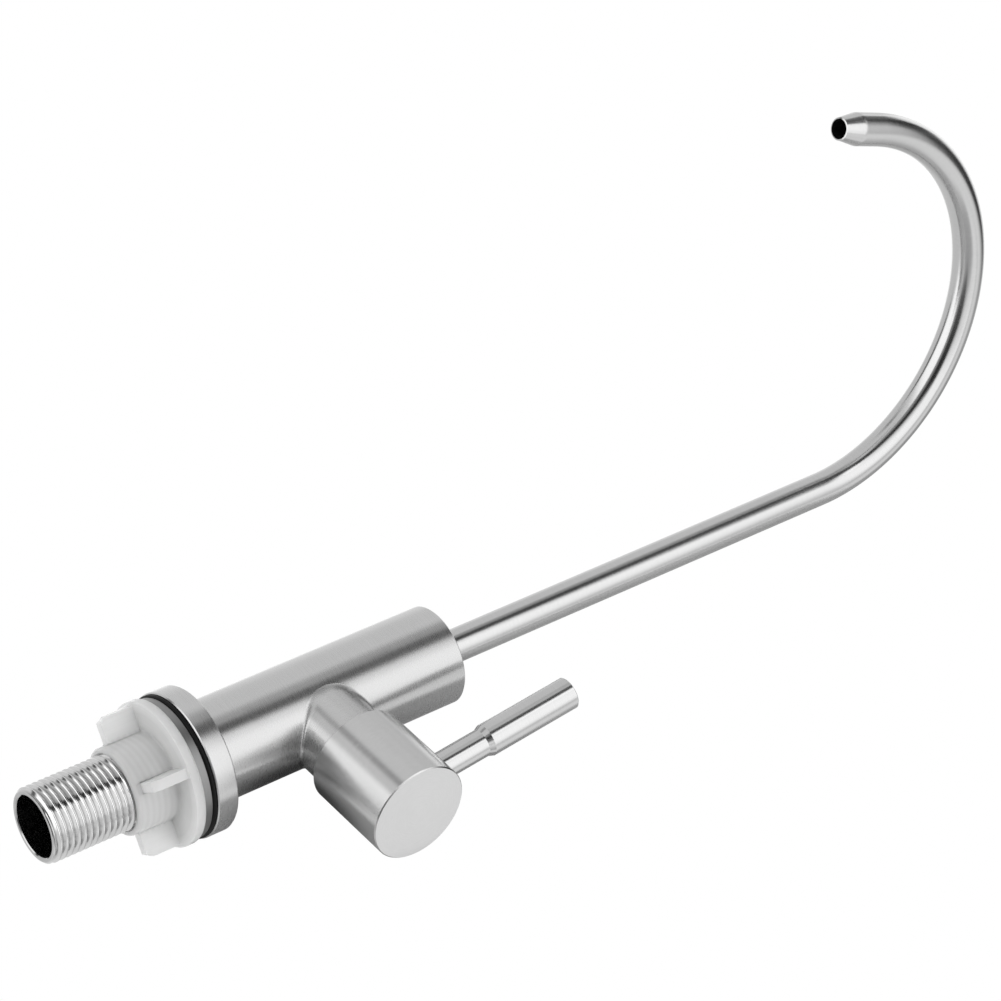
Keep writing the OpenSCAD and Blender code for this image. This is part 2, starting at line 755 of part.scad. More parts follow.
module stem_o_ring_outer() {
    color("black") on_handle_axis() o_ring(ring_mid(stem_bore_r, stem_ring_d), stem_ring_d, stem_ring_x[1]);
}

module stem_clip() {
    clip_bore_r = clip_in_r + seat_gap / 2;
    color("gray") at_lever_turn() on_handle_axis() translate([0, 0, clip_x]) rotate([0, 0, clip_gap / 2])
        rotate_extrude(angle = full_turn - clip_gap) translate([clip_bore_r, 0]) square([clip_d / 2 - clip_bore_r, clip_t]);
}

module thrust_ring() {
    color("ivory") on_handle_axis() ring(thrust_d / 2, stem_r + turn_gap, mixing_x - thrust_t, mixing_x);
}

module clamp_washer() {
    color("gray") ring(washer_d / 2, shank_r + free_gap, nut_top, 0);
}

module wing_nut() {
    flange_edge = nut_flange_r - nut_flange_round;
    hub_edge = nut_hub_r - nut_hub_round;
    wing_r = wing_span / 2;
    color("whitesmoke") {
        rotate_extrude() polygon(concat(
            [[nut_bore_r, nut_end]],
            arc([hub_edge, nut_end + nut_hub_round], nut_hub_round, -90, 0),
            [[nut_hub_r, nut_flange_z]],
            arc([flange_edge, nut_flange_z + nut_flange_round], nut_flange_round, -90, 0),
            [[nut_flange_r, nut_top], [nut_bore_r, nut_top]]
        ));
        for (i = [0:wing_count - 1])
            rotate([90, 0, wing_turn + full_turn * i / wing_count])
                translate([0, 0, -wing_t / 2])
                    linear_extrude(wing_t) polygon([
                        [nut_hub_r - nut_hub_round / 2, nut_flange_z + nut_flange_t / 2],
                        [nut_hub_r - nut_hub_round / 2, wing_end],
                        [wing_r - wing_corner_w, wing_end],
                        [wing_r, wing_end + wing_corner_h],
                        [wing_r, nut_flange_z + nut_flange_t / 2]
                    ]);
    }
}

tee_body();
base_flange();
flange_seal();
threaded_shank();
shank_gasket();
valve_seal();
fixed_disc();
cartridge_housing();
cartridge_o_ring();
gland_nut();
spout_gland();
spout_tube();
spout_sleeve();
spout_o_ring_lower();
spout_o_ring_upper();
glide_ring();
handle_knob();
lever_rod();
valve_stem();
moving_disc();
stem_o_ring_inner();
stem_o_ring_outer();
stem_clip();
thrust_ring();
clamp_washer();
wing_nut();
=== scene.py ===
"""Looks of the drinking water filter tap: brushed steel, bare thread, black rubber and milky plastic.

Sizes are in millimetres and follow the part's source; small edge breaks and roundings are added here.
Meshes are made in metres. The worktop is the plane z = 0, the spout points to -Y and the handle to +X.
"""

from math import acos, atan2, ceil, cos, floor, pi, radians, sin, sqrt, tan

import bmesh
import bpy
from mathutils import Matrix, Vector


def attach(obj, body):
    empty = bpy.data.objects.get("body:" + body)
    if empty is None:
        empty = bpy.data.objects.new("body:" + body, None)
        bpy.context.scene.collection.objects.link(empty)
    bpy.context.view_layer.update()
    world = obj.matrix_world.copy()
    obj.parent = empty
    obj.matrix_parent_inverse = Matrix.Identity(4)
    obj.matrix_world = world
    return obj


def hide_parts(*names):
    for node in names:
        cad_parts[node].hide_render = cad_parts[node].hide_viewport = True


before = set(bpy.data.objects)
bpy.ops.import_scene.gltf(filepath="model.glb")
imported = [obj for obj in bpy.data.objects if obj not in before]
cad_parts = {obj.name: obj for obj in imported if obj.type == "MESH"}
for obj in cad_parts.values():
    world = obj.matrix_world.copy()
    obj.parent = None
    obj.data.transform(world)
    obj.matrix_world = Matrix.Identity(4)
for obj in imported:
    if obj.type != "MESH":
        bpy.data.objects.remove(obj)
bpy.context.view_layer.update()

# Sizes of the outside pieces
MM = 0.001
BODY_R = 14.0
BODY_BASE = 5.5
BODY_TOP = 85.7
RIM_BREAK = 0.3
SOCKET_R = 9.25
SOCKET_FLOOR = 61.0
SHANK_SOCKET_R = 10.5775
SHANK_SOCKET_TOP = 19.0
HANDLE_Z = 43.45
NECK_R = 11.8
NECK_END = 25.8
NECK_BORE_R = 9.6
VALVE_SEAT_X = -3.0
WELD_R = 0.9
WELD_FLANK_R = 6.0
WELD_POWER = 6
FLANGE_R = 20.3
FLANGE_TOP = 7.5
FLANGE_BREAK = 0.3
FLANGE_BREAK_H = 0.5
FLANGE_HOLE_R = 10.7775
SPIGOT_R = 16.9
RECESS_R = 14.2
SEAL_R = 20.0
SEAL_IN_R = 17.0
SEAL_T = 1.3
SEAL_ROUND = 0.6
SHANK_R = 10.4775
SHANK_BORE_R = 8.55
SHANK_END = -41.6
SHANK_TOP = 17.5
THREAD_TOP = 1.5
THREAD_PITCH = 1.8143
THREAD_DEPTH = 1.162
THREAD_RUN_OUT = 0.75
SHANK_END_R = SHANK_R - THREAD_RUN_OUT
BORE_BREAK = 0.25
WASHER_R = 19.5
WASHER_T = 2.4
WASHER_ROUND = 0.2
NUT_HOLE_R = 10.7775
NUT_TOP = -2.4
NUT_FLANGE_R = 20.2
NUT_FLANGE_Z = -5.2
NUT_HUB_R = 12.2
NUT_END = -17.7
NUT_ROUND = 1.0
NUT_EDGE = 0.4
NUT_FILLET = 0.6
NUT_HOLE_ROUND = 0.2
NUT_THREAD_GAP = 0.2
NUT_MOUTH = 0.5
NUT_MOUTH_R = 10.95
NUT_LINING_R = 11.4
WING_R = 19.2
WING_END = -15.3
WING_T = 2.8
WING_CORNER_W = 1.2
WING_CORNER_H = 2.0
WING_COUNT = 4
WING_TURN = -37.5
WING_EDGE = 0.45
WING_IN_HUB = 0.9
WING_IN_FLANGE = 1.2
KNOB_R = 14.1
KNOB_START = 22.3
KNOB_END = 49.6
KNOB_BREAK = 0.3
SKIRT_R = 12.1
KNOB_BORE_X = 31.5
STEM_HOLE_R = 4.05
STEM_END = 45.6
STEM_FLAT = 3.0
THRUST_R = 5.5
THRUST_HOLE_R = 4.1
THRUST_START = 7.9
THRUST_END = 8.7
THRUST_ROUND = 0.1
LEVER_X = 39.93
LEVER_TURN = 8.0
LEVER_SCREW_R = 2.5
LEVER_THIN_R = 3.85
LEVER_GRIP_R = 4.53
LEVER_SEAT = 13.2
LEVER_STEP = 27.7
LEVER_TAPER = 1.6
LEVER_ROUND = 0.2
LEVER_REACH = 57.0
LEVER_BREAK = 0.3
SEAT_GAP = 0.05
SEAT_PAST = 2.0
RUN_GAP = 0.02
TUBE_R = 4.74
TUBE_BORE_R = 3.94
TUBE_BASE = 66.0
SPOUT_RISE = 226.2
BEND_R = 56.5
BEND_SWEEP = 163.0
SPOUT_TAIL = 8.3
NOZZLE_LEN = 6.2
NOZZLE_R = 3.25
NOZZLE_BORE_R = 2.85
NOZZLE_LIP = 0.15
NOZZLE_LIP_EDGE = 0.02
NOZZLE_LIP_DEPTH = 0.1
SHOULDER_LEAD = 1.0
SHOULDER_HALF = 0.4
SHOULDER_DROP = 0.04
SHOULDER_END_DROP = 0.13
SPOUT_TURN = -7.36

# Fineness of the meshes
ROUND_STEPS = 144
CORNER_STEPS = 5
RISER_STEPS = 16
BEND_STEPS = 96
THREAD_STEPS = 96
WING_EDGE_STEPS = 3
WING_EDGE_ANGLE = radians(40)
SHARP_ANGLE = radians(32)
ON_AXIS = 1e-6
SAME_PLACE = 1e-7
SAME_DIGITS = 4

# Most values of a noise lie between these two
NOISE_LOW = 0.3
NOISE_HIGH = 0.7


class Graph:
    """Adds nodes to one node tree; an input takes another node's output or a plain value."""

    def __init__(self, tree):
        self.tree = tree
        tree.nodes.clear()

    def add(self, kind, inputs=None, **settings):
        node = self.tree.nodes.new("ShaderNode" + kind)
        for key, value in settings.items():
            setattr(node, key, value)
        for key, value in (inputs or {}).items():
            if isinstance(value, bpy.types.NodeSocket):
                self.tree.links.new(value, node.inputs[key])
            else:
                node.inputs[key].default_value = value
        return node

    def math(self, operation, *values):
        return self.add("Math", dict(enumerate(values)), operation=operation).outputs[0]

    def ramp(self, value, low, high, to_low, to_high, smooth=False):
        kind = "SMOOTHSTEP" if smooth else "LINEAR"
        inputs = {"Value": value, "From Min": low, "From Max": high, "To Min": to_low, "To Max": to_high}
        return self.add("MapRange", inputs, interpolation_type=kind).outputs["Result"]

    def spread(self, noise, to_low, to_high):
        """A noise as values between two ends."""
        return self.ramp(noise, NOISE_LOW, NOISE_HIGH, to_low, to_high)

    def noise(self, vector, scale, detail=2.0, rough=0.5):
        inputs = {"Vector": vector, "Scale": scale, "Detail": detail, "Roughness": rough}
        return self.add("TexNoise", inputs).outputs["Fac"]

    def bump(self, height, strength, depth):
        """Normal of a fine relief, with its depth in millimetres."""
        inputs = {"Strength": strength, "Distance": depth * MM, "Height": height}
        return self.add("Bump", inputs).outputs["Normal"]

    def grey(self, level):
        inputs = {"Red": level, "Green": level, "Blue": level}
        return self.add("CombineColor", inputs).outputs["Color"]

    def tint(self, level, colour):
        shades = [self.math("MULTIPLY", level, part) for part in colour]
        return self.add("CombineColor", dict(zip(("Red", "Green", "Blue"), shades))).outputs["Color"]


def new_material(name):
    made = bpy.data.materials.new(name)
    made.use_nodes = True
    return made, Graph(made.node_tree)


def shade(graph, inputs):
    """One principled shader to the material's output."""
    shader = graph.add("BsdfPrincipled", inputs)
    graph.add("OutputMaterial", {"Surface": shader.outputs["BSDF"]})


# Scales of the steel's patterns, in waves for each metre
BRUSH_ACROSS = 450.0
BRUSH_CLOUDS = 55.0


def brushed_steel(name, colour, rough, lines=4400.0, aniso=0.75, grey=0.035):
    """Satin steel whose fine brush lines lie across the first coordinate of the piece's own brush map."""
    made, graph = new_material(name)
    place = graph.add("TexCoord").outputs["Object"]
    along = graph.add("UVMap", uv_map="brush").outputs["UV"]
    along = graph.add("SeparateXYZ", {"Vector": along}).outputs["X"]
    scaled = {0: place, "Scale": BRUSH_ACROSS}
    stretched = graph.add("VectorMath", scaled, operation="SCALE").outputs["Vector"]
    shift = graph.add("CombineXYZ", {"X": graph.math("MULTIPLY", along, lines)}).outputs["Vector"]
    streak = graph.add("VectorMath", {0: stretched, 1: shift}, operation="ADD").outputs["Vector"]
    grain = graph.noise(streak, scale=1.0, detail=3.0, rough=0.6)
    cloud = graph.noise(place, BRUSH_CLOUDS)
    level = graph.math("ADD", graph.spread(grain, 1 - grey, 1 + grey), graph.spread(cloud, -0.015, 0.015))
    gloss = graph.math("ADD", graph.spread(grain, rough - 0.02, rough + 0.02),
                       graph.spread(cloud, -0.01, 0.01))
    lay = graph.add("Tangent", direction_type="UV_MAP", uv_map="brush").outputs["Tangent"]
    shade(graph, {
        "Base Color": graph.tint(level, colour), "Metallic": 1.0, "Roughness": gloss, "Anisotropic": aniso,
        "Tangent": lay, "Normal": graph.bump(grain, strength=0.02, depth=0.04),
    })
    return made


THREAD_GRAIN = (300.0, 300.0, 2600.0)
TURNED_LINES = 3800.0
TURNED_ACROSS = 110.0

# Painted shade at the thread's root, and the part of its depth over which it fades
THREAD_ROOT_PAINTED_SHADE = 0.72
THREAD_PAINTED_SHADE_PART = 0.5


def thread_steel(name, colour, rough):
    """Bare steel of the thread, with painted shade that darkens it towards its root."""
    made, graph = new_material(name)
    place = graph.add("TexCoord").outputs["Object"]
    flat = graph.add("VectorMath", {0: place, 1: (1, 1, 0)}, operation="MULTIPLY").outputs["Vector"]
    reach = graph.add("VectorMath", {0: flat}, operation="LENGTH").outputs["Value"]
    root = (SHANK_R - THREAD_DEPTH) * MM
    # Painted shade: the colour darkens towards the thread's root
    depth = graph.ramp(reach, root, root + THREAD_PAINTED_SHADE_PART * THREAD_DEPTH * MM, THREAD_ROOT_PAINTED_SHADE, 1.0)
    streak = graph.add("Mapping", {"Vector": place, "Scale": THREAD_GRAIN}).outputs["Vector"]
    grain = graph.noise(streak, scale=1.0, rough=0.55)
    level = graph.math("MULTIPLY", depth, graph.spread(grain, 0.94, 1.05))
    shade(graph, {
        "Base Color": graph.tint(level, colour), "Metallic": 1.0,
        "Roughness": graph.spread(grain, rough - 0.03, rough + 0.03),
        "Normal": graph.bump(grain, strength=0.08, depth=0.04),
    })
    return made


def turned_metal(name, colour, rough, axis):
    """Machined metal with fine turning marks across one axis of the model."""
    made, graph = new_material(name)
    place = graph.add("TexCoord").outputs["Object"]
    scale = [TURNED_LINES if part else TURNED_ACROSS for part in axis]
    streak = graph.add("Mapping", {"Vector": place, "Scale": scale}).outputs["Vector"]
    grain = graph.noise(streak, scale=1.0, rough=0.55)
    level = graph.spread(grain, 0.9, 1.06)
    shade(graph, {
        "Base Color": graph.tint(level, colour), "Metallic": 1.0,
        "Roughness": graph.spread(grain, rough - 0.05, rough + 0.06),
        "Normal": graph.bump(grain, strength=0.2, depth=0.05),
    })
    return made


def rubber(name):
    """Black rubber with a faint skin grain."""
    made, graph = new_material(name)
    place = graph.add("TexCoord").outputs["Object"]
    grain = graph.noise(place, scale=2600.0, detail=3.0, rough=0.6)
    cloud = graph.noise(place, scale=160.0)
    shade(graph, {
        "Base Color": graph.grey(graph.spread(cloud, 0.003, 0.006)), "Specular IOR Level": 0.16,
        "Roughness": graph.spread(grain, 0.46, 0.58),
        "Normal": graph.bump(grain, strength=0.15, depth=0.05),
    })
    return made


def plastic(name, colour, rough):
    """Moulded plastic with a soft skin texture."""
    made, graph = new_material(name)
    place = graph.add("TexCoord").outputs["Object"]
    grain = graph.noise(place, scale=1500.0, detail=3.0, rough=0.55)
    cloud = graph.noise(place, scale=120.0)
    level = graph.spread(cloud, 0.97, 1.02)
    shade(graph, {
        "Base Color": graph.tint(level, colour),
        "Roughness": graph.spread(grain, rough - 0.05, rough + 0.05),
        "Normal": graph.bump(grain, strength=0.1, depth=0.06),
    })
    return made


# Milky plastic: radii between which the hub's painted thread shade and the face's painted shade at the rim
# end, depths below the flange's face between which that painted shade comes in, rings for each metre of
# radius, and the light's scatter in metres
MILKY_HUB = (12.4, 13.4)
MILKY_RIM_PAINTED_SHADE = (17.2, 18.4)
MILKY_FACE_PAINTED_SHADE = (1.0, 0.3)
MILKY_RINGS = 900.0
MILKY_SCATTER = 0.006


def milky_plastic(name, colour):
    """Clouded plastic that lets some light through; its inner thread is painted round the hub as soft lines
    of shade and light.
    """
    made, graph = new_material(name)
    place = graph.add("TexCoord").outputs["Object"]
    axes = graph.add("SeparateXYZ", {"Vector": place}).outputs
    turn = graph.math("DIVIDE", graph.math("ARCTAN2", axes["Y"], axes["X"]), 2 * pi)
    flat = graph.add("VectorMath", {0: place, 1: (1, 1, 0)}, operation="MULTIPLY").outputs["Vector"]
    reach = graph.add("VectorMath", {0: flat}, operation="LENGTH").outputs["Value"]
    # Painted shade and light of the inner thread seen through the plastic, as soft lines round the hub
    pitches = graph.math("DIVIDE", axes["Z"], THREAD_PITCH * MM)
    wave = graph.math("SINE", graph.math("MULTIPLY", graph.math("SUBTRACT", pitches, turn), 2 * pi))
    hub = graph.ramp(reach, MILKY_HUB[0] * MM, MILKY_HUB[1] * MM, 1.0, 0.0)
    lines = graph.math("MULTIPLY", graph.ramp(wave, -1.0, 1.0, -0.05, 0.03), hub)
    outward = graph.add("CombineXYZ", {"X": graph.math("MULTIPLY", reach, MILKY_RINGS)}).outputs["Vector"]
    rings = graph.spread(graph.noise(outward, scale=1.0), -0.03, 0.03)
    rings = graph.math("MULTIPLY", rings, graph.math("SUBTRACT", 1.0, hub))
    # Painted shade on the flange's face, inside its rim
    below, above = [(NUT_FLANGE_Z - part) * MM for part in MILKY_FACE_PAINTED_SHADE]
    near = graph.ramp(axes["Z"], below, above, 0.0, 1.0)
    inside = graph.ramp(reach, MILKY_RIM_PAINTED_SHADE[0] * MM, MILKY_RIM_PAINTED_SHADE[1] * MM, -0.08, 0.0)
    face = graph.math("MULTIPLY", near, inside)
    cloud = graph.spread(graph.noise(place, scale=150.0), 0.97, 1.02)
    grain = graph.noise(place, scale=1500.0, detail=3.0, rough=0.55)
    level = graph.math("ADD", graph.math("ADD", cloud, lines), graph.math("ADD", rings, face))
    shade(graph, {
        "Base Color": graph.tint(level, colour), "Specular IOR Level": 0.35,
        "Roughness": graph.spread(grain, 0.16, 0.22), "IOR": 1.45, "Transmission Weight": 0.15,
        "Subsurface Weight": 0.8, "Subsurface Scale": MILKY_SCATTER, "Subsurface Radius": (1.0, 1.0, 1.0),
    })
    return made


def ceramic(name, colour):
    """Lapped ceramic with a fine speckle."""
    made, graph = new_material(name)
    place = graph.add("TexCoord").outputs["Object"]
    speckle = graph.noise(place, scale=4200.0, rough=0.7)
    level = graph.spread(speckle, 0.96, 1.02)
    shade(graph, {
        "Base Color": graph.tint(level, colour), "Roughness": graph.spread(speckle, 0.22, 0.3),
    })
    return made


def rounded(outline):
    """Outline corners (r, z, rounding) as plain points, each rounded corner as a short arc."""
    points = []
    count = len(outline)
    for i, (r, z, radius) in enumerate(outline):
        here = Vector((r, z))
        if not radius:
            points.append(here)
            continue
        before = (Vector(outline[i - 1][:2]) - here).normalized()
        after = (Vector(outline[(i + 1) % count][:2]) - here).normalized()
        half = acos(max(-1.0, min(1.0, before.dot(after)))) / 2
        reach = radius / tan(half)
        centre = here + (before + after).normalized() * radius / sin(half)
        start = here + before * reach - centre
        bend = (pi - 2 * half) * (1 if before.cross(after) < 0 else -1)
        for k in range(CORNER_STEPS + 1):
            points.append(centre + Matrix.Rotation(bend * k / CORNER_STEPS, 2) @ start)
    return points


def to_object(name, bm):
    """Finishes a mesh: outward faces, smooth shading with sharp edges kept."""
    bmesh.ops.recalc_face_normals(bm, faces=bm.faces)
    mesh = bpy.data.meshes.new(name)
    bm.to_mesh(mesh)
    bm.free()
    mesh.shade_smooth()
    mesh.set_sharp_from_angle(angle=SHARP_ANGLE)
    made = bpy.data.objects.new(name, mesh)
    bpy.context.scene.collection.objects.link(made)
    return made


def even_normals(made):
    """Lets the large faces lead the shading where they meet small rounded edges."""
    weighted = made.modifiers.new("even_normals", "WEIGHTED_NORMAL")
    weighted.keep_sharp = True


def ring_surface(rings, runs):
    """Closed mesh through rings of points; a ring of one point is a pole.

    runs are the lengths along the surface at each ring, and back at the first one.
    """
    bm = bmesh.new()
    brush = bm.loops.layers.uv.new("brush")
    rows = [[bm.verts.new(Vector(point) * MM) for point in ring] for ring in rings]
    for first, low in enumerate(rows):
        high = rows[(first + 1) % len(rows)]
        end_run = runs[first + 1]
        steps = max(len(low), len(high))
        if steps == 1:
            continue
        for k in range(steps):
            turn, next_turn = k, (k + 1) % steps
            corners = [
                (low[turn % len(low)], runs[first], k), (low[next_turn % len(low)], runs[first], k + 1),
                (high[next_turn % len(high)], end_run, k + 1), (high[turn % len(high)], end_run, k),
            ]
            unique = []
            for corner in corners:
                if corner[0] not in [kept[0] for kept in unique]:
                    unique.append(corner)
            face = bm.faces.new([corner[0] for corner in unique])
            for loop, corner in zip(face.loops, unique):
                loop[brush].uv = (corner[1] * MM, corner[2] / steps)
    return bm


def revolved(name, outline, place=Matrix(), even=True):
    """Closed outline of (r, z, rounding) turned about local z, then set in its place."""
    points = rounded(outline)
    rings = []
    runs = [0.0]
    for i, point in enumerate(points):
        if i:
            runs.append(runs[-1] + (point - points[i - 1]).length)
        turns = 1 if point.x < ON_AXIS else ROUND_STEPS
        rings.append([
            place @ Vector((point.x * cos(2 * pi * k / turns), point.x * sin(2 * pi * k / turns), point.y))
            for k in range(turns)
        ])
    runs.append(runs[-1] + (points[0] - points[-1]).length)
    made = to_object(name, ring_surface(rings, runs))
    if even:
        even_normals(made)
    return made


def finish_piece(made, material, node, body):
    made.data.materials.clear()
    made.data.materials.append(material)
    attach(made, body)
    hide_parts(node)


def combine(target, tools, operation):
    """Joins or cuts the target with other meshes, which are then removed."""
    for tool in tools:
        change = target.modifiers.new("combine", "BOOLEAN")
        change.operation = operation
        change.solver = "EXACT"
        change.object = tool
    graph = bpy.context.evaluated_depsgraph_get()
    result = bpy.data.meshes.new_from_object(target.evaluated_get(graph))
    target.modifiers.clear()
    target.data = result
    for tool in tools:
        bpy.data.objects.remove(tool)


# Camera at the photograph's angle, below the worktop and rolled
PHOTO_SIDE = 1001
FOCAL_PIXELS = 3596.62
SENSOR = 36.0
CAMERA_PLACE = Vector((0.58773, -0.61477, -0.39992))
CAMERA_RIGHT = Vector((0.61130, -0.06768, 0.78850))
CAMERA_UP = Vector((-0.50290, -0.80252, 0.32100))
CAMERA_BACK = Vector((0.61106, -0.59277, -0.52462))


def add_camera():
    lens = bpy.data.cameras.new("camera")
    lens.sensor_width = SENSOR
    lens.lens = FOCAL_PIXELS * SENSOR / PHOTO_SIDE
    made = bpy.data.objects.new("camera", lens)
    turn = Matrix((CAMERA_RIGHT, CAMERA_UP, CAMERA_BACK)).transposed()
    made.matrix_world = Matrix.Translation(CAMERA_PLACE) @ turn.to_4x4()
    bpy.context.scene.collection.objects.link(made)
    bpy.context.scene.camera = made


# Body: the upright tube with its side neck and the weld fillet between them
PATCH_HALF_TURN = 72.0
PATCH_HALF_HEIGHT = 24.0
PATCH_COLUMNS = 72
PATCH_ROWS = 72
PATCH_RINGS = 8
BACK_COLUMNS = 108
FILLET_STEPS = 10
NECK_STEPS = 6


def on_body(turn, z):
    return Vector((BODY_R * cos(turn), BODY_R * sin(turn), z))


def fillet_row(angle):
    """Points of the weld fillet at one angle round the neck, from the body to the neck."""
    ball = WELD_R + (WELD_FLANK_R - WELD_R) * cos(angle) ** WELD_POWER
    y = (NECK_R + ball) * cos(angle)
    z = (NECK_R + ball) * sin(angle)
    middle = Vector((sqrt((BODY_R + ball) ** 2 - y * y), y, z))
    share = BODY_R / (BODY_R + ball)
    foot = Vector((middle.x * share, y * share, z))
    share = NECK_R / (NECK_R + ball)
    top = Vector((middle.x, y * share, z * share))
    start, end = (foot - middle) / ball, (top - middle) / ball
    lift = Vector((0, 0, HANDLE_Z))
    return [lift + middle + start.slerp(end, k / FILLET_STEPS) * ball for k in range(FILLET_STEPS + 1)]


def tee_body():
    bm = bmesh.new()
    brush = bm.loops.layers.uv.new("brush")
    kept = {}

    def vert(point):
        key = tuple(round(part, SAME_DIGITS) for part in point)
        if key not in kept:
            kept[key] = bm.verts.new(Vector(point) * MM)
        return kept[key]

    def quad(points, marks):
        corners = []
        for point, mark in zip(points, marks):
            corner = vert(point)
            if corner not in [c for c, _ in corners]:
                corners.append((corner, mark))
        face = bm.faces.new([c for c, _ in corners])
        for loop, (_, mark) in zip(face.loops, corners):
            loop[brush].uv = (mark[0] * MM, mark[1] * MM)

    half = radians(PATCH_HALF_TURN)
    front = [-half + 2 * half * k / PATCH_COLUMNS for k in range(PATCH_COLUMNS + 1)]
    back = [half + (2 * pi - 2 * half) * k / BACK_COLUMNS for k in range(1, BACK_COLUMNS)]
    turns = front + back
    low, high = HANDLE_Z - PATCH_HALF_HEIGHT, HANDLE_Z + PATCH_HALF_HEIGHT
    rows = [low + (high - low) * k / PATCH_ROWS for k in range(PATCH_ROWS + 1)]

    def wall(first_turn, second_turn, bottom, top):
        points = [on_body(first_turn, bottom), on_body(second_turn, bottom),
                  on_body(second_turn, top), on_body(first_turn, top)]
        marks = [(bottom, first_turn * BODY_R), (bottom, second_turn * BODY_R),
                 (top, second_turn * BODY_R), (top, first_turn * BODY_R)]
        quad(points, marks)

    # Plain wall behind the patch, and above and below it
    columns = len(turns)
    rim_z = BODY_TOP - RIM_BREAK
    for k in range(columns):
        here, there = turns[k], turns[(k + 1) % columns]
        for bottom, top in ((BODY_BASE, low), (high, rim_z)):
            wall(here, there, bottom, top)
        if k >= PATCH_COLUMNS:
            for bottom, top in zip(rows, rows[1:]):
                wall(here, there, bottom, top)

    # Patch of wall from its square edge in to the fillet's foot
    edge = [(t, low) for t in front[:-1]] + [(front[-1], z) for z in rows[:-1]]
    edge += [(t, high) for t in front[:0:-1]] + [(front[0], z) for z in rows[:0:-1]]
    angles = [atan2(z - HANDLE_Z, t * BODY_R) for t, z in edge]
    fillets = [fillet_row(a) for a in angles]
    spokes = []
    for (turn, z), row in zip(edge, fillets):
        foot_turn = atan2(row[0].y, row[0].x)
        foot_z = row[0].z
        spoke = []
        for k in range(PATCH_RINGS + 1):
            share = k / PATCH_RINGS
            spoke.append((turn + (foot_turn - turn) * share, z + (foot_z - z) * share))
        spokes.append(spoke)
    for i, spoke in enumerate(spokes):
        after = spokes[(i + 1) % len(spokes)]
        for k in range(PATCH_RINGS):
            marks = [spoke[k], after[k], after[k + 1], spoke[k + 1]]
            quad([on_body(*mark) for mark in marks], [(mark[1], mark[0] * BODY_R) for mark in marks])

    # Fillet, neck and the cartridge's bore in the neck
    outline = []
    for a, row in zip(angles, fillets):
        def at(x, r, a=a):
            return Vector((x, r * cos(a), HANDLE_Z + r * sin(a)))
        start = row[-1].x
        neck = [at(start + (NECK_END - start) * k / NECK_STEPS, NECK_R) for k in range(1, NECK_STEPS + 1)]
        inside = [at(NECK_END, NECK_BORE_R), at(VALVE_SEAT_X, NECK_BORE_R), at(VALVE_SEAT_X, 0)]
        outline.append(row + neck + inside)
    for i, row in enumerate(outline):
        after = outline[(i + 1) % len(outline)]
        here_v, there_v = angles[i] * NECK_R, angles[(i + 1) % len(angles)] * NECK_R
        if there_v < here_v - pi * NECK_R:
            there_v += 2 * pi * NECK_R
        run_here, run_there = row[0].x - WELD_R, after[0].x - WELD_R
        for k in range(len(row) - 1):
            next_here = run_here + (row[k + 1] - row[k]).length
            next_there = run_there + (after[k + 1] - after[k]).length
            marks = [(run_here, here_v), (run_there, there_v), (next_there, there_v), (next_here, here_v)]
            quad([row[k], after[k], after[k + 1], row[k + 1]], marks)
            run_here, run_there = next_here, next_there

    # Rim and socket at the top, socket at the base
    ends = [(BODY_R, rim_z), (BODY_R - RIM_BREAK, BODY_TOP), (SOCKET_R, BODY_TOP),
            (SOCKET_R, SOCKET_FLOOR), (0.0, SOCKET_FLOOR)]
    base = [(BODY_R, BODY_BASE), (SHANK_SOCKET_R, BODY_BASE),
            (SHANK_SOCKET_R, SHANK_SOCKET_TOP), (0.0, SHANK_SOCKET_TOP)]
    for line in (ends, base):
        run = line[0][1]
        for (r, z), (next_r, next_z) in zip(line, line[1:]):
            next_run = run + sqrt((next_r - r) ** 2 + (next_z - z) ** 2)
            for k in range(columns):
                here, there = turns[k], turns[(k + 1) % columns]
                points = [Vector((radius * cos(t), radius * sin(t), level)) for radius, level, t in
                          ((r, z, here), (r, z, there), (next_r, next_z, there), (next_r, next_z, here))]
                quad(points, [(run, here), (run, there), (next_run, there), (next_run, here)])
            run = next_run
    made = to_object("tee_body_skin", bm)
    even_normals(made)
    return made


# Shank with its real helical thread
THREAD_SHAPE = ((0.0, 1.0), (0.08, 1.0), (0.13, 0.93), (0.37, 0.07), (0.42, 0.0),
                (0.5, 0.0), (0.58, 0.0), (0.63, 0.07), (0.87, 0.93), (0.92, 1.0))
THREAD_ZERO = SHANK_END - THREAD_PITCH


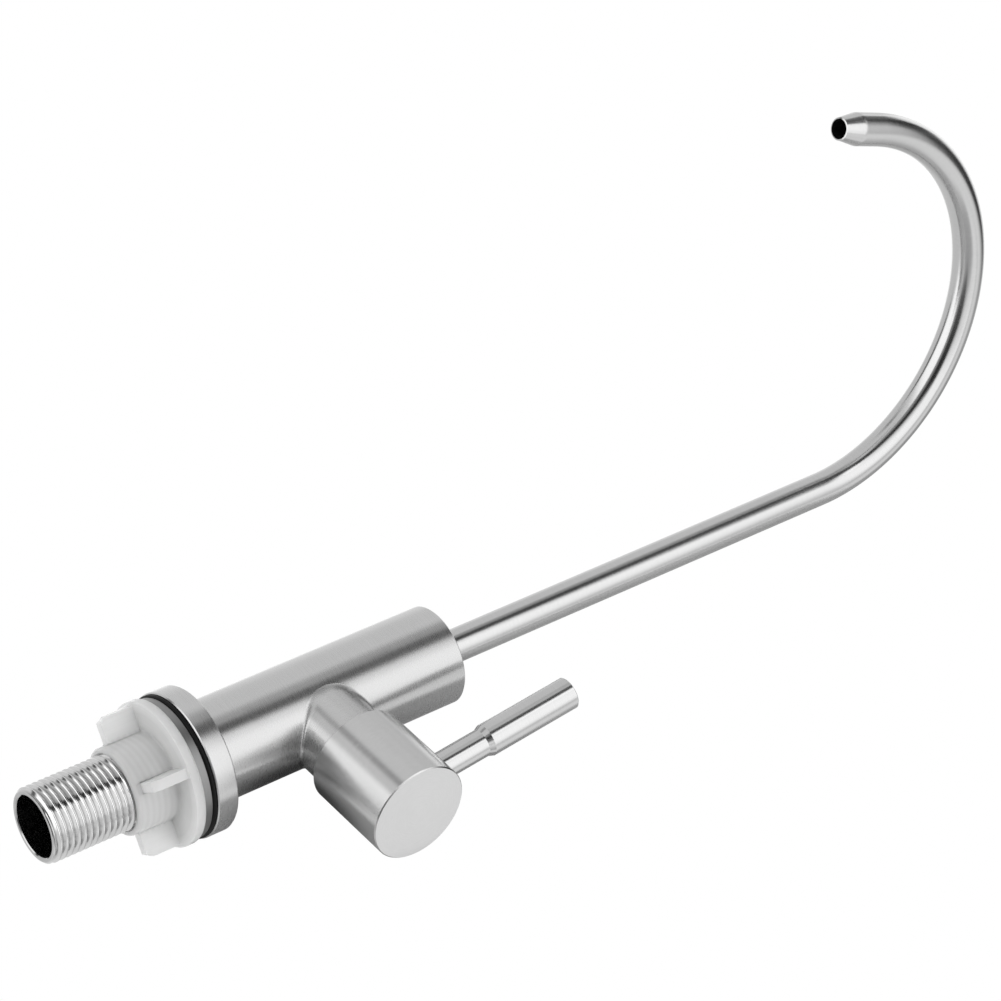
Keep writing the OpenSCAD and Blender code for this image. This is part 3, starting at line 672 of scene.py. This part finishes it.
def threaded_tube(name, low, high, end_r, gap, line, bore=None):
    """Tube with a helical thread on one side; its rows of points follow the helix and run out at end_r.

    line gives the other faces as (r, z) corners, from the thread's upper end round to its lower end;
    the row of faces with the number bore gets the second material.
    """
    bm = bmesh.new()
    brush = bm.loops.layers.uv.new("brush")
    per_turn = len(THREAD_SHAPE)
    start = THREAD_ZERO + floor((low - THREAD_ZERO) / THREAD_PITCH - 1) * THREAD_PITCH
    wraps = ceil((high - start) / THREAD_PITCH) + 1
    rows = []
    for m in range(wraps * per_turn + 1):
        turn, part = divmod(m, per_turn)
        share, height = THREAD_SHAPE[part]
        row = []
        for k in range(THREAD_STEPS):
            z = start + (turn + share + k / THREAD_STEPS) * THREAD_PITCH
            level = min(max(z, low), high)
            reach = min(level - low, high - level)
            r = SHANK_R - THREAD_DEPTH + height * THREAD_DEPTH + gap
            r = min(max(r, end_r - reach), end_r + reach)
            a = 2 * pi * k / THREAD_STEPS
            row.append(bm.verts.new(Vector((r * cos(a), r * sin(a), level)) * MM))
        rows.append(row)
    for m in range(len(rows) - 1 - per_turn):
        for k in range(THREAD_STEPS):
            wrap = per_turn if k == THREAD_STEPS - 1 else 0
            after = (k + 1) % THREAD_STEPS
            corners = [rows[m][k], rows[m + wrap][after], rows[m + 1 + wrap][after], rows[m + 1][k]]
            face = bm.faces.new(corners)
            for loop, corner in zip(face.loops, corners):
                loop[brush].uv = (corner.co.z, k / THREAD_STEPS)
    turns = [2 * pi * k / THREAD_STEPS for k in range(THREAD_STEPS)]
    rings = [[bm.verts.new(Vector((r * cos(a), r * sin(a), z)) * MM) for a in turns] for r, z in line]
    for i, (first, second) in enumerate(zip(rings, rings[1:])):
        for k in range(THREAD_STEPS):
            after = (k + 1) % THREAD_STEPS
            face = bm.faces.new([first[k], first[after], second[after], second[k]])
            face.material_index = 1 if i == bore else 0
            for loop in face.loops:
                loop[brush].uv = (loop.vert.co.z, k / THREAD_STEPS)
    bmesh.ops.remove_doubles(bm, verts=bm.verts, dist=SAME_PLACE)
    bmesh.ops.dissolve_degenerate(bm, edges=bm.edges, dist=SAME_PLACE)
    loose = [v for v in bm.verts if not v.link_faces]
    bmesh.ops.delete(bm, geom=loose, context="VERTS")
    return to_object(name, bm)


def threaded_shank():
    line = [(SHANK_END_R, THREAD_TOP), (SHANK_END_R, SHANK_TOP), (SHANK_BORE_R, SHANK_TOP),
            (SHANK_BORE_R, SHANK_END + BORE_BREAK), (SHANK_BORE_R + BORE_BREAK, SHANK_END),
            (SHANK_END_R, SHANK_END)]
    return threaded_tube("shank_with_thread", SHANK_END, THREAD_TOP, SHANK_END_R, 0.0, line, bore=2)


def wing(index):
    """One wing of the nut as a plate that reaches into the hub and the flange."""
    turn = Matrix.Rotation(radians(WING_TURN + 360 * index / WING_COUNT), 3, "Z")
    inner = NUT_HUB_R - WING_IN_HUB
    root = NUT_FLANGE_Z + WING_IN_FLANGE
    side = [(inner, root), (inner, WING_END), (WING_R - WING_CORNER_W, WING_END),
            (WING_R, WING_END + WING_CORNER_H), (WING_R, root)]
    bm = bmesh.new()
    bm.loops.layers.uv.new("brush")
    faces = []
    for across in (-WING_T / 2, WING_T / 2):
        corners = [bm.verts.new(turn @ Vector((r, across, z)) * MM) for r, z in side]
        faces.append(corners)
        bm.faces.new(corners)
    for k in range(len(side)):
        after = (k + 1) % len(side)
        bm.faces.new([faces[0][k], faces[0][after], faces[1][after], faces[1][k]])
    return to_object("wing", bm)


def wing_nut():
    top = NUT_TOP - RUN_GAP
    made = revolved("wing_nut_moulded", [
        (NUT_HOLE_R, top, NUT_EDGE), (NUT_HOLE_R, NUT_END, NUT_HOLE_ROUND), (NUT_HUB_R, NUT_END, NUT_ROUND),
        (NUT_HUB_R, NUT_FLANGE_Z, NUT_FILLET), (NUT_FLANGE_R, NUT_FLANGE_Z, NUT_EDGE),
        (NUT_FLANGE_R, top, NUT_EDGE),
    ], even=False)
    combine(made, [wing(i) for i in range(WING_COUNT)], "UNION")
    soften = made.modifiers.new("soft_edges", "BEVEL")
    soften.width = WING_EDGE * MM
    soften.segments = WING_EDGE_STEPS
    soften.limit_method = "ANGLE"
    soften.angle_limit = WING_EDGE_ANGLE
    # Thread in the bore, in step with the shank's
    low, high = NUT_END + NUT_MOUTH, NUT_TOP - NUT_MOUTH
    line = [(NUT_MOUTH_R, high), (NUT_LINING_R, high), (NUT_LINING_R, low), (NUT_MOUTH_R, low)]
    lining = threaded_tube("nut_thread", low, high, NUT_MOUTH_R, NUT_THREAD_GAP, line)
    combine(made, [lining], "UNION")
    made.data.shade_smooth()
    made.data.set_sharp_from_angle(angle=SHARP_ANGLE)
    even_normals(made)
    return made


def spout_tube():
    """Tube along the riser, the bend, the tail and the drawn-in nozzle, with its bore."""
    turn = Matrix.Rotation(radians(SPOUT_TURN), 3, "Z")
    riser = SPOUT_RISE - TUBE_BASE
    bend = BEND_R * radians(BEND_SWEEP)
    total = riser + bend + SPOUT_TAIL + NOZZLE_LEN
    shoulder = total - NOZZLE_LEN

    def station(length):
        """Point and direction on the tube's middle line, from the riser's foot."""
        if length <= riser:
            return Vector((0, 0, TUBE_BASE + length)), Vector((0, 0, 1))
        angle = min(length - riser, bend) / BEND_R
        point = Vector((0, -BEND_R + BEND_R * cos(angle), SPOUT_RISE + BEND_R * sin(angle)))
        heading = Vector((0, -sin(angle), cos(angle)))
        return point + heading * max(0.0, length - riser - bend), heading

    # Outside from the foot to the lip, then the bore back to the foot
    spots = [(riser * k / RISER_STEPS, TUBE_R) for k in range(RISER_STEPS)]
    spots += [(riser + bend * k / BEND_STEPS, TUBE_R) for k in range(BEND_STEPS + 1)]
    spots += [(shoulder - SHOULDER_LEAD, TUBE_R), (shoulder - SHOULDER_HALF, TUBE_R)]
    spots += [(shoulder, TUBE_R - SHOULDER_DROP), (shoulder + SHOULDER_HALF, TUBE_R - SHOULDER_END_DROP)]
    spots += [(total - NOZZLE_LIP, NOZZLE_R), (total, NOZZLE_BORE_R + NOZZLE_LIP_EDGE)]
    spots += [(total - NOZZLE_LIP_DEPTH, NOZZLE_BORE_R), (shoulder, TUBE_BORE_R)]
    spots += [(riser + bend * k / BEND_STEPS, TUBE_BORE_R) for k in range(BEND_STEPS, -1, -1)]
    spots += [(0.0, TUBE_BORE_R)]
    rings = []
    runs = []
    side = Vector((1, 0, 0))
    angles = [2 * pi * k / ROUND_STEPS for k in range(ROUND_STEPS)]
    for length, r in spots:
        point, heading = station(length)
        across = heading.cross(side)
        rings.append([turn @ (point + (side * cos(a) + across * sin(a)) * r) for a in angles])
        runs.append(length)
    runs.append(0.0)
    made = to_object("spout_gooseneck", ring_surface(rings, runs))
    even_normals(made)
    return made


# Materials
steel = brushed_steel("steel_brushed", (0.59, 0.59, 0.59), 0.28, aniso=0.88)
knob_steel = brushed_steel("steel_knob", (0.59, 0.59, 0.59), 0.25, aniso=0.8)
tube_steel = brushed_steel("steel_tube", (0.56, 0.56, 0.56), 0.2)
lever_steel = brushed_steel("steel_lever", (0.56, 0.56, 0.56), 0.18)
# Steel of the knob's flat end: rougher, and a lighter colour that is painted light
face_steel_painted_light = brushed_steel("steel_face_painted_light", (0.7, 0.7, 0.7), 0.36, aniso=0.3, grey=0.03)
bare_steel = thread_steel("steel_thread", (0.68, 0.68, 0.68), 0.13)
dull_steel = brushed_steel("steel_washer", (0.27, 0.27, 0.27), 0.42, lines=1800.0, aniso=0.3)
# Near-black colour of the bore: painted shade of its depth
bore_painted_shade_steel = turned_metal("steel_bore_painted_shade", (0.012, 0.012, 0.012), 0.5, (0, 0, 1))
brass = turned_metal("brass_turned", (0.72, 0.56, 0.28), 0.3, (1, 0, 0))
clip_steel = turned_metal("steel_clip", (0.5, 0.5, 0.5), 0.32, (1, 0, 0))
gland_steel = turned_metal("steel_gland", (0.56, 0.56, 0.56), 0.28, (0, 0, 1))
black = rubber("rubber_black")
white_disc = ceramic("ceramic_lapped", (0.87, 0.86, 0.83))
slide_plastic = plastic("plastic_bearing", (0.84, 0.83, 0.78), 0.45)
nut_plastic = milky_plastic("plastic_milky", (0.95, 0.955, 0.95))

# Frames of the handle's pieces
HANDLE_AXIS = Matrix.Translation((0, 0, HANDLE_Z)) @ Matrix.Rotation(pi / 2, 4, "Y")
LEVER_FRAME = Matrix.Translation((LEVER_X, 0, HANDLE_Z)) @ Matrix.Rotation(radians(LEVER_TURN), 4, "X")

add_camera()

finish_piece(tee_body(), steel, "tee_body", "tap_body")

flange = revolved("flange_turned", [
    (FLANGE_HOLE_R, 0, 0), (SPIGOT_R, 0, 0), (SPIGOT_R, SEAL_T, 0), (FLANGE_R - FLANGE_BREAK, SEAL_T, 0),
    (FLANGE_R, SEAL_T + FLANGE_BREAK, 0), (FLANGE_R, FLANGE_TOP - FLANGE_BREAK_H, 0),
    (FLANGE_R - FLANGE_BREAK, FLANGE_TOP, 0), (RECESS_R, FLANGE_TOP, 0), (RECESS_R, BODY_BASE, 0),
    (FLANGE_HOLE_R, BODY_BASE, 0),
])
finish_piece(flange, steel, "base_flange", "tap_body")

seal = revolved("seal_rounded", [
    (SEAL_IN_R, SEAL_T, 0), (SEAL_IN_R, 0, 0), (SEAL_R, 0, SEAL_ROUND), (SEAL_R, SEAL_T, SEAL_ROUND),
])
finish_piece(seal, black, "flange_seal", "tap_body")

shank = threaded_shank()
finish_piece(shank, bare_steel, "threaded_shank", "tap_body")
# Second material: the bore's painted shade
shank.data.materials.append(bore_painted_shade_steel)

washer = revolved("washer_stamped", [
    (NUT_HOLE_R, -WASHER_T, WASHER_ROUND), (WASHER_R, -WASHER_T, WASHER_ROUND),
    (WASHER_R, 0, WASHER_ROUND), (NUT_HOLE_R, 0, WASHER_ROUND),
])
finish_piece(washer, dull_steel, "clamp_washer", "clamp_washer")

finish_piece(wing_nut(), nut_plastic, "wing_nut", "wing_nut")

finish_piece(spout_tube(), tube_steel, "spout_tube", "spout")

knob = revolved("knob_turned", [
    (0, KNOB_END, 0), (KNOB_R - KNOB_BREAK, KNOB_END, 0), (KNOB_R, KNOB_END - KNOB_BREAK, 0),
    (KNOB_R, KNOB_START + KNOB_BREAK, 0), (KNOB_R - KNOB_BREAK, KNOB_START, 0),
    (SKIRT_R, KNOB_START, 0), (SKIRT_R, KNOB_BORE_X, 0), (STEM_HOLE_R, KNOB_BORE_X, 0),
    (STEM_HOLE_R, STEM_END, 0), (0, STEM_END, 0),
], HANDLE_AXIS, even=False)
seat = revolved("seat_cutter", [
    (0, STEM_FLAT, 0), (LEVER_SCREW_R + SEAT_GAP, STEM_FLAT, 0), (LEVER_SCREW_R + SEAT_GAP, LEVER_SEAT, 0),
    (LEVER_THIN_R + SEAT_GAP, LEVER_SEAT, 0), (LEVER_THIN_R + SEAT_GAP, KNOB_R + SEAT_PAST, 0),
    (0, KNOB_R + SEAT_PAST, 0),
], LEVER_FRAME)
combine(knob, [seat], "DIFFERENCE")
even_normals(knob)
finish_piece(knob, knob_steel, "handle_knob", "handle")
knob.data.materials.append(face_steel_painted_light)
# The knob's flat end, inside its broken edge, has its own rougher brushed finish, and its lighter colour is
# painted light
for face in knob.data.polygons:
    if face.center.x > (KNOB_END - KNOB_BREAK / 4) * MM:
        face.material_index = 1

lever = revolved("lever_turned", [
    (0, STEM_FLAT, 0), (LEVER_SCREW_R, STEM_FLAT, 0), (LEVER_SCREW_R, LEVER_SEAT, 0),
    (LEVER_THIN_R, LEVER_SEAT, 0), (LEVER_THIN_R, LEVER_STEP, LEVER_ROUND),
    (LEVER_GRIP_R, LEVER_STEP + LEVER_TAPER, LEVER_ROUND), (LEVER_GRIP_R, LEVER_REACH - LEVER_BREAK, 0),
    (LEVER_GRIP_R - LEVER_BREAK, LEVER_REACH, 0), (0, LEVER_REACH, 0),
], LEVER_FRAME)
finish_piece(lever, lever_steel, "lever_rod", "handle")

# Thrust ring with its moulded edges and a running gap at the housing's shoulder
thrust_shoulder = THRUST_END - RUN_GAP
thrust = revolved("thrust_ring_moulded", [
    (THRUST_HOLE_R, THRUST_START, THRUST_ROUND), (THRUST_R, THRUST_START, THRUST_ROUND),
    (THRUST_R, thrust_shoulder, THRUST_ROUND), (THRUST_HOLE_R, thrust_shoulder, THRUST_ROUND),
], HANDLE_AXIS)
finish_piece(thrust, slide_plastic, "thrust_ring", "handle")

# The other inner pieces keep their solids and get finished materials
INNER = {
    "shank_gasket": black, "valve_seal": black, "cartridge_o_ring": black, "spout_o_ring_lower": black,
    "spout_o_ring_upper": black, "stem_o_ring_inner": black, "stem_o_ring_outer": black,
    "fixed_disc": white_disc, "moving_disc": white_disc, "cartridge_housing": brass, "gland_nut": brass,
    "valve_stem": brass, "spout_sleeve": brass, "glide_ring": slide_plastic, "stem_clip": clip_steel,
    "spout_gland": gland_steel,
}
for name, material in INNER.items():
    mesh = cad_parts[name].data
    mesh.materials.clear()
    mesh.materials.append(material)

# Studio: pale surroundings with soft panels, bright and dark, that show as bands in the steel.
# A panel has two turns from the studio's front and their softness, two rises above its middle and their
# softness, all in degrees, then the slope of its rises along the turn, and its level.
STUDIO_RIGHT = (0.7675, 0.2806, 0.5763)
STUDIO_UP = (-0.1944, -0.7549, 0.6264)
STUDIO_FRONT = (0.6108, -0.5928, -0.5248)
SURROUND = 0.84
PANELS = (
    ("back_right", (115, 168), 14, (-14, 8), 7, 0, 0.42),
    ("back_right_mid", (120, 170), 10, (-42, -14), 7, 0, 0.6),
    ("back_right_low", (105, 166), 12, (-80, -42), 8, 0, 0.6),
    ("side_light", (86, 111), 6, (-45, 3), 6, 0, 1.08),
    ("back_right_gap", (98, 137), 5, (11, 42), 5, 0, 0.03),
    ("back_top_gap", (93, 153), 6, (40, 70), 5, 0, 0.03),
    ("back_light", (148, 179), 6, (17, 55), 5, 0, 1.35),
    ("back_end_gap", (146, 175), 5, (57, 74), 4, 0, 0.04),
    ("back_left", (-200, -149), 6, (12, 34), 6, 0, 1.0),
    ("back_left_low", (-200, -146), 8, (-13, 10), 6, 0, 1.35),
    ("back_low_light", (171, 200), 5, (-13, 10), 6, 0, 1.35),
    ("top", (-75, 60), 15, (70, 100), 6, 0, 0.38),
    ("top_gap", (42, 200), 10, (72, 100), 5, 0, 0.08),
    ("top_gap_left", (-200, -140), 10, (77, 100), 4, 0, 0.1),
    ("key_edge", (17, 73), 6, (4, 64), 7, 0, 1.25),
    ("key", (28, 73), 12, (4, 64), 7, 0, 1.6),
    ("key_top", (19, 40), 5, (44, 57), 5, 0, 2.1),
    ("key_middle", (24, 72), 6, (-13, 4), 6, 0, 1.6),
    ("key_low", (36, 84), 7, (-34, -13), 8, 0, 1.12),
    ("low", (0, 84), 10, (-72, -36), 8, 0, 0.55),
    ("left", (-80.5, -27), 3.5, (-57, 12), 6, 0.2, 1.65),
    ("left_edge", (-96, -84.5), 3, (-32, 17), 6, 0, 0.1),
    ("left_top_edge", (-88, -66), 4, (27, 38), 4, 0, 0.2),
    ("gap_left", (-27, -8), 4, (-50, 46), 6, 0, 0.32),
    ("gap", (-12, 9), 5, (-52, 46), 6, 0, 0.03),
    ("gap_front", (-12, 17), 4, (-33, 4), 5, 0, 0.03),
    ("gap_low", (-10, 26), 5, (-52, -23), 5, 0, 0.08),
    ("gap_middle", (-10, 18), 4, (42, 60), 5, 0, 0.03),
    ("gap_top", (20, 68), 5, (54.5, 74), 4, -0.3, 0.04),
    ("gap_crown", (-9, 40), 6, (60, 79), 5, 0, 0.05),
)


def add_world():
    world = bpy.data.worlds.new("studio")
    world.use_nodes = True
    graph = Graph(world.node_tree)
    way = graph.add("TexCoord").outputs["Generated"]

    def along(axis):
        return graph.add("VectorMath", {0: way, 1: axis}, operation="DOT_PRODUCT").outputs["Value"]

    turn = graph.math("DEGREES", graph.math("ARCTAN2", along(STUDIO_RIGHT), along(STUDIO_FRONT)))
    rise = graph.math("DEGREES", graph.math("ARCSINE", along(STUDIO_UP)))

    def between(value, limits, soft):
        above = graph.ramp(value, limits[0] - soft, limits[0] + soft, 0.0, 1.0, True)
        below = graph.ramp(value, limits[1] - soft, limits[1] + soft, 1.0, 0.0, True)
        return graph.math("MULTIPLY", above, below)

    light = SURROUND
    for _, turns, turn_soft, rises, rise_soft, slope, strength in PANELS:
        middle = (turns[0] + turns[1]) / 2
        level = rise
        if slope:
            lean = graph.math("MULTIPLY", graph.math("SUBTRACT", turn, middle), slope)
            level = graph.math("SUBTRACT", rise, lean)
        inside = graph.math("MULTIPLY", between(turn, turns, turn_soft), between(level, rises, rise_soft))
        light = graph.add("Mix", {"Factor": inside, 2: light, 3: strength}, data_type="FLOAT").outputs[0]
    path = graph.add("LightPath").outputs
    seen = graph.math("MAXIMUM", path["Is Camera Ray"], path["Is Transmission Ray"])
    strength = graph.add("Mix", {"Factor": seen, 2: light, 3: 1.0}, data_type="FLOAT").outputs[0]
    sky = graph.add("Background", {"Color": (1, 1, 1, 1), "Strength": strength})
    graph.add("OutputWorld", {"Surface": sky.outputs["Background"]})
    bpy.context.scene.world = world


FLOOR_R = 1.2
FLOOR_STEPS = 64
FLOOR_DROP = 0.3
FLOOR_FADE = (0.3, 0.9)


def add_floor():
    """Pale round floor under the shank; it fades out into the white backdrop and is clear from below."""
    bm = bmesh.new()
    level = (SHANK_END - FLOOR_DROP) * MM
    turns = [2 * pi * k / FLOOR_STEPS for k in range(FLOOR_STEPS)]
    bm.faces.new([bm.verts.new((FLOOR_R * cos(a), FLOOR_R * sin(a), level)) for a in turns])
    mesh = bpy.data.meshes.new("floor")
    bm.to_mesh(mesh)
    bm.free()
    ground = bpy.data.objects.new("floor", mesh)
    bpy.context.scene.collection.objects.link(ground)
    made, graph = new_material("floor_pale")
    place = graph.add("TexCoord").outputs["Object"]
    reach = graph.add("VectorMath", {0: place}, operation="LENGTH").outputs["Value"]
    gone = graph.ramp(reach, FLOOR_FADE[0], FLOOR_FADE[1], 0.0, 1.0, True)
    below = graph.add("NewGeometry").outputs["Backfacing"]
    hidden = graph.math("MAXIMUM", gone, below)
    dust = graph.spread(graph.noise(place, scale=30.0), 0.88, 0.9)
    paint = graph.add("BsdfDiffuse", {"Color": graph.grey(dust)}).outputs["BSDF"]
    clear = graph.add("BsdfTransparent").outputs["BSDF"]
    mixed = graph.add("MixShader", {0: hidden, 1: paint, 2: clear}).outputs["Shader"]
    graph.add("OutputMaterial", {"Surface": mixed})
    mesh.materials.append(made)
    ground.visible_glossy = False
    ground.visible_diffuse = False
    ground.visible_shadow = False


CARD_Y = 22.0
CARD_X = (-10.0, 56.0)
CARD_Z = (-4.0, 272.0)
CARD_THIN = (98.0, 118.0)
CARD_THINNED = 0.35
CARD_FADE = (240.0, 270.0)
# Painted shade on the card: the corner it darkens round, the distances over which it lightens, and its
# darkest and lightest grey
CARD_CORNER = (14.0, 34.0)
CARD_DARK = (4.0, 28.0)
CARD_TONES = (0.08, 0.63)


def add_card():
    """Grey card close behind the body, seen only in the steel.

    Its grey is painted darker where the tap's own shade would fall; it is thinner along the spout and gone
    at its top.
    """
    bm = bmesh.new()
    corners = [(CARD_X[0], CARD_Z[0]), (CARD_X[1], CARD_Z[0]),
               (CARD_X[1], CARD_Z[1]), (CARD_X[0], CARD_Z[1])]
    bm.faces.new([bm.verts.new(Vector((x, CARD_Y, z)) * MM) for x, z in corners])
    mesh = bpy.data.meshes.new("card")
    bm.to_mesh(mesh)
    bm.free()
    card = bpy.data.objects.new("card", mesh)
    bpy.context.scene.collection.objects.link(card)
    made, graph = new_material("card_grey")
    place = graph.add("TexCoord").outputs["Object"]
    height = graph.add("SeparateXYZ", {"Vector": place}).outputs["Z"]
    thinned = graph.ramp(height, CARD_THIN[0] * MM, CARD_THIN[1] * MM, 0.0, CARD_THINNED, True)
    faded = graph.ramp(height, CARD_FADE[0] * MM, CARD_FADE[1] * MM, 0.0, 1 - CARD_THINNED, True)
    gone = graph.math("ADD", thinned, faded)
    corner = Vector((CARD_CORNER[0], CARD_Y, CARD_CORNER[1])) * MM
    away = graph.add("VectorMath", {0: place, 1: corner}, operation="DISTANCE").outputs["Value"]
    # Painted shade: the card's grey is darkest round the corner below the neck
    tone = graph.ramp(away, CARD_DARK[0] * MM, CARD_DARK[1] * MM, CARD_TONES[0], CARD_TONES[1], True)
    paint = graph.add("BsdfDiffuse", {"Color": graph.grey(tone)}).outputs["BSDF"]
    clear = graph.add("BsdfTransparent").outputs["BSDF"]
    mixed = graph.add("MixShader", {0: gone, 1: paint, 2: clear}).outputs["Shader"]
    graph.add("OutputMaterial", {"Surface": mixed})
    mesh.materials.append(made)
    card.visible_camera = False
    card.visible_diffuse = False
    card.visible_transmission = False
    card.visible_shadow = False


add_world()
add_floor()
add_card()

bpy.context.scene.view_settings.view_transform = "Standard"
